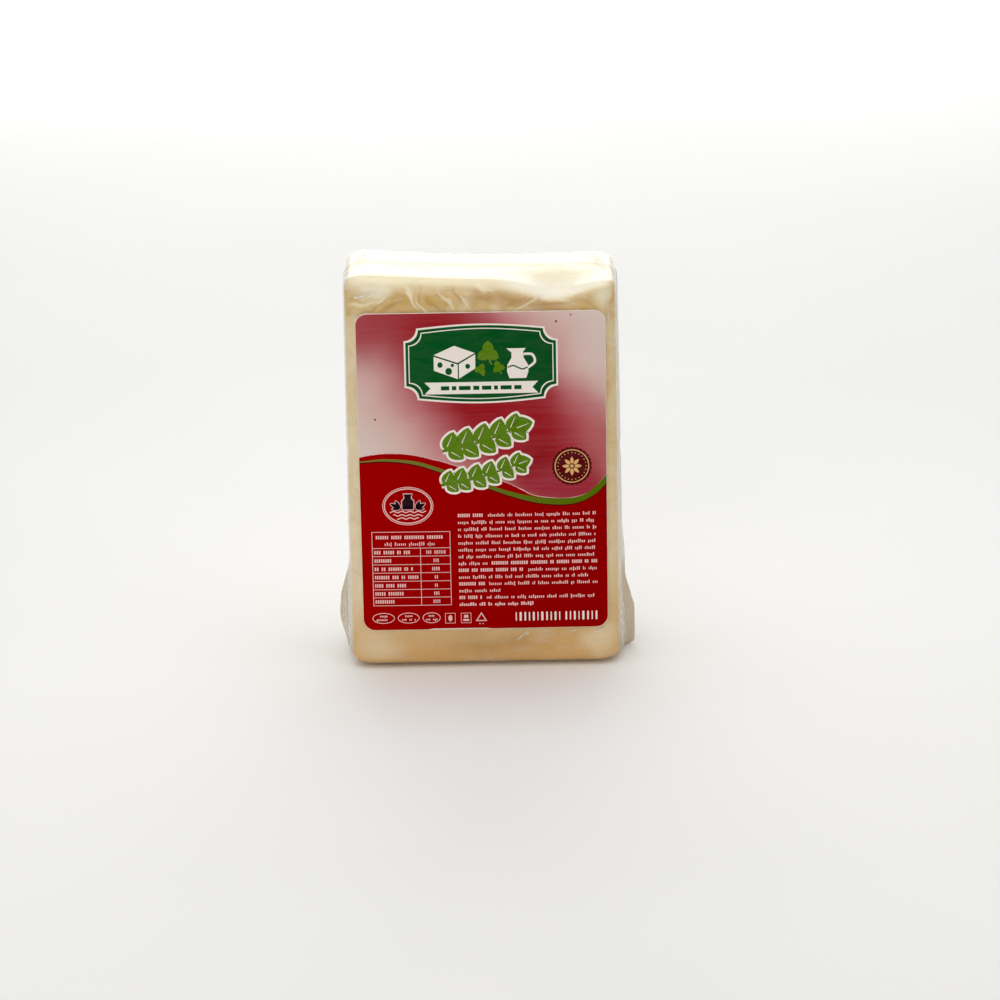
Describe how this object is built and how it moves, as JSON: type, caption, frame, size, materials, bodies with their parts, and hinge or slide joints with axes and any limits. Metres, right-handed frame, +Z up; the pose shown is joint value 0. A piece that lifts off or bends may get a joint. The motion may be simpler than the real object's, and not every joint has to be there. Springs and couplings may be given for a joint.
{
  "type": "vacuum-packed goat cheese block",
  "caption": "Rectangular block of white goat cheese sealed in clear vacuum film, standing upright, with a large red and pink printed label on the front and small film ears at the foot.",
  "frame": {"origin": "middle of the base, on the surface that the pack stands on", "axes": "+Z up, the label faces -Y, +X is to the right seen from the front"},
  "size_m": [0.1098, 0.0504, 0.149],
  "materials": {
    "cheese_in_film": "ivory cheese under tight clear film, glossy, with faint darker and paler patches",
    "label_print": "satin printed sticker, deep red field below a cloudy pink one",
    "clear_film": "thin clear vacuum film, glossy, lightly creased"
  },
  "bodies": {
    "root": {"cheese_pack": "cheese_in_film", "label": "label_print"}
  },
  "joints": []
}
